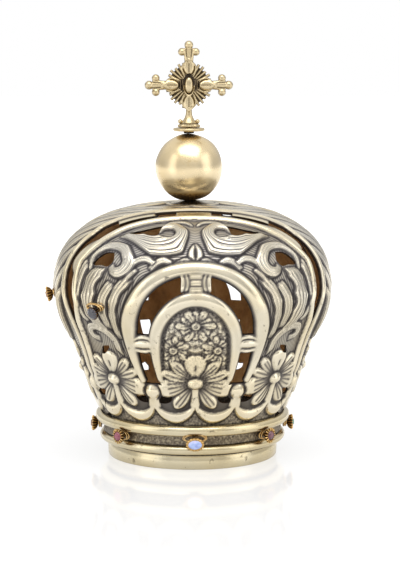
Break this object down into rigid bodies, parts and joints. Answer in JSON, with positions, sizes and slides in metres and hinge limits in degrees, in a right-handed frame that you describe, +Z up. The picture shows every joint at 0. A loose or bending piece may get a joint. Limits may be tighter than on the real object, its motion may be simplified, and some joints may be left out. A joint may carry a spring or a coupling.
{
  "type": "imperial crown for a statue",
  "caption": "Closed silver-gilt crown with a pierced, embossed dome on a moulded band, an orb, a cast cross and clawed stones on pins.",
  "frame": {"origin": "on the resting plane, under the middle of the outline; the axis of the dome is 3.6 mm towards +X of it, because a stone stands out on the left", "axes": "+Z up along the axis of the dome, -Y to the front, +X to the right of someone facing the front"},
  "size_m": [0.1498, 0.1472, 0.2165],
  "materials": {
    "silver_gilt": "worn silver-gilt, bright on the high places and dark in the recesses",
    "orb_gilt": "polished gilt",
    "cast_gilt": "cast gilt, dark in the recesses",
    "collet_gold": "gilt wire and sheet",
    "opal": "milky cabochon",
    "red_stone": "faceted",
    "garnet": "faceted",
    "brown_stone": "faceted",
    "green_stone": "faceted",
    "blue_stone": "faceted"
  },
  "bodies": {
    "root": {"base_band": "silver_gilt", "front_panel": "silver_gilt", "back_panel": "silver_gilt", "side_arch": "silver_gilt", "orb": "orb_gilt", "neck_disc": "cast_gilt", "cross": "cast_gilt", "collet_front": "collet_gold", "stone_front": "opal", "collet_front_left": "collet_gold", "stone_front_left": "red_stone", "collet_left": "collet_gold", "stone_left": "brown_stone", "collet_back_left": "collet_gold", "stone_back_left": "red_stone", "collet_back": "collet_gold", "stone_back": "garnet", "collet_back_right": "collet_gold", "stone_back_right": "red_stone", "collet_right": "collet_gold", "stone_right": "green_stone", "collet_front_right": "collet_gold", "stone_front_right": "garnet", "collet_arch_left": "collet_gold", "stone_arch_left": "brown_stone", "collet_panel_left": "collet_gold", "stone_panel_left": "blue_stone"}
  },
  "joints": []
}
